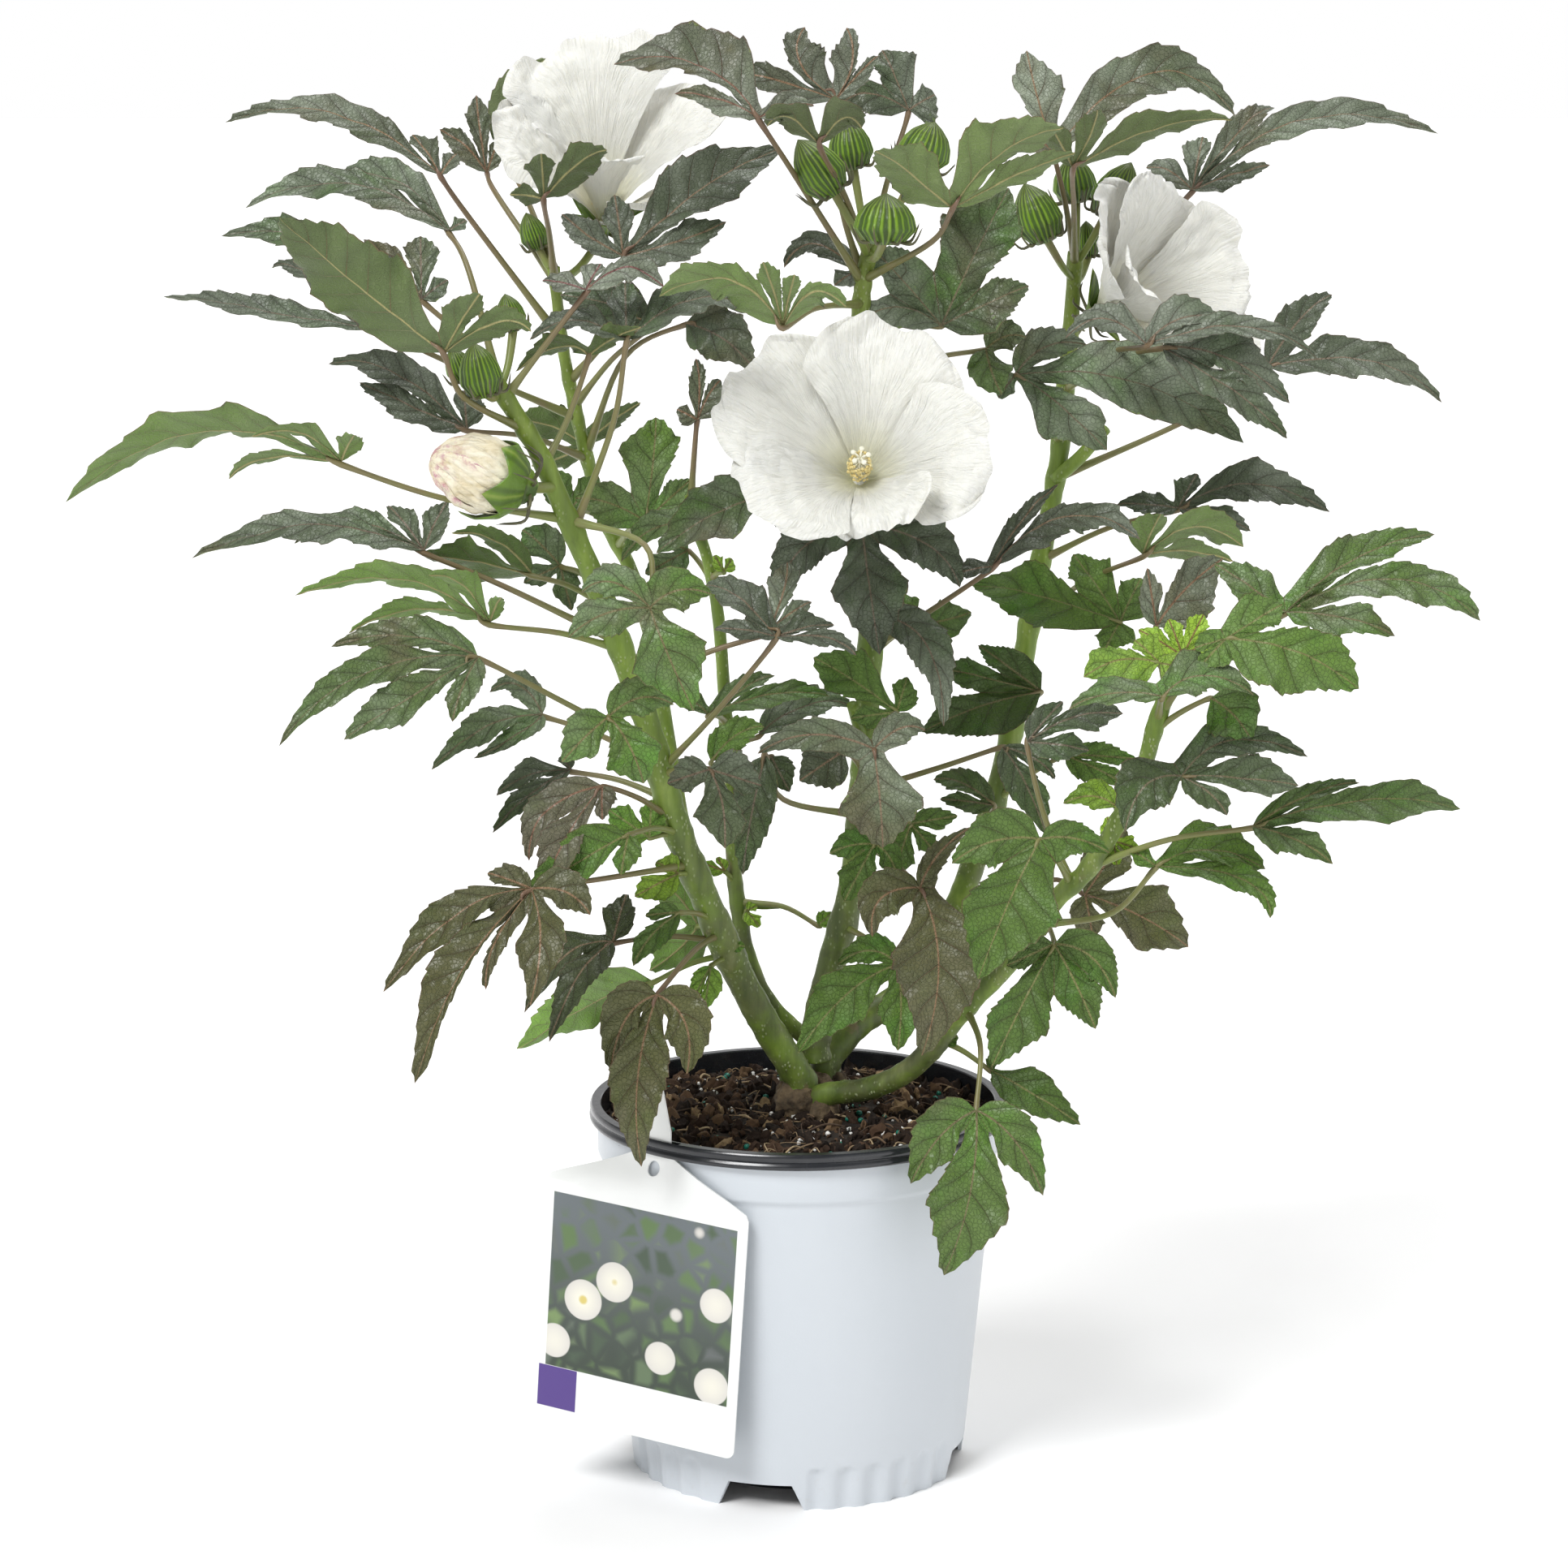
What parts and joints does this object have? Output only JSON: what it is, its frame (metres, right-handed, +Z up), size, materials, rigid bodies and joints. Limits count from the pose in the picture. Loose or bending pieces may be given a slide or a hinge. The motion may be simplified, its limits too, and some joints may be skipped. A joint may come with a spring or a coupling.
{
  "type": "potted rose mallow",
  "caption": "Rose mallow with dark lobed leaves, white blooms and ribbed buds, growing in a round pale nursery pot filled with soil, with a plastic plant tag.",
  "frame": {"origin": "centre of the pot's floor, on the surface the pot stands on", "axes": "+Z up, -Y towards the viewer of the picture (the front), +X to that viewer's right"},
  "size_m": [0.774, 0.4129, 0.8259],
  "materials": {
    "pot_plastic": "satin moulded plastic, pale blue-white, black inside and on the rim",
    "soil": "dark bark and peat potting mix",
    "tag_plastic": "semi-gloss white printed plastic card",
    "root_wood": "rough brown woody crown",
    "foliage": "dark grey-green to purple leaves on green canes",
    "petals": "creamy white, softly wrinkled petals",
    "pistil": "pale yellow anthers and cream stigmas"
  },
  "bodies": {
    "root": {"pot": "pot_plastic", "soil": "soil", "tag": "tag_plastic", "root_crown": "root_wood", "leafy_stem_front_left": "foliage", "leafy_stem_back_left": "foliage", "leafy_stem_slender": "foliage", "leafy_stem_centre": "foliage", "leafy_stem_right": "foliage", "leafy_stem_low_right": "foliage", "bloom_centre_petals": "petals", "bloom_centre_pistil": "pistil", "bloom_right_petals": "petals", "bloom_right_pistil": "pistil", "bloom_left_petals": "petals", "bloom_left_pistil": "pistil", "opening_bud_petals": "petals"}
  },
  "joints": []
}
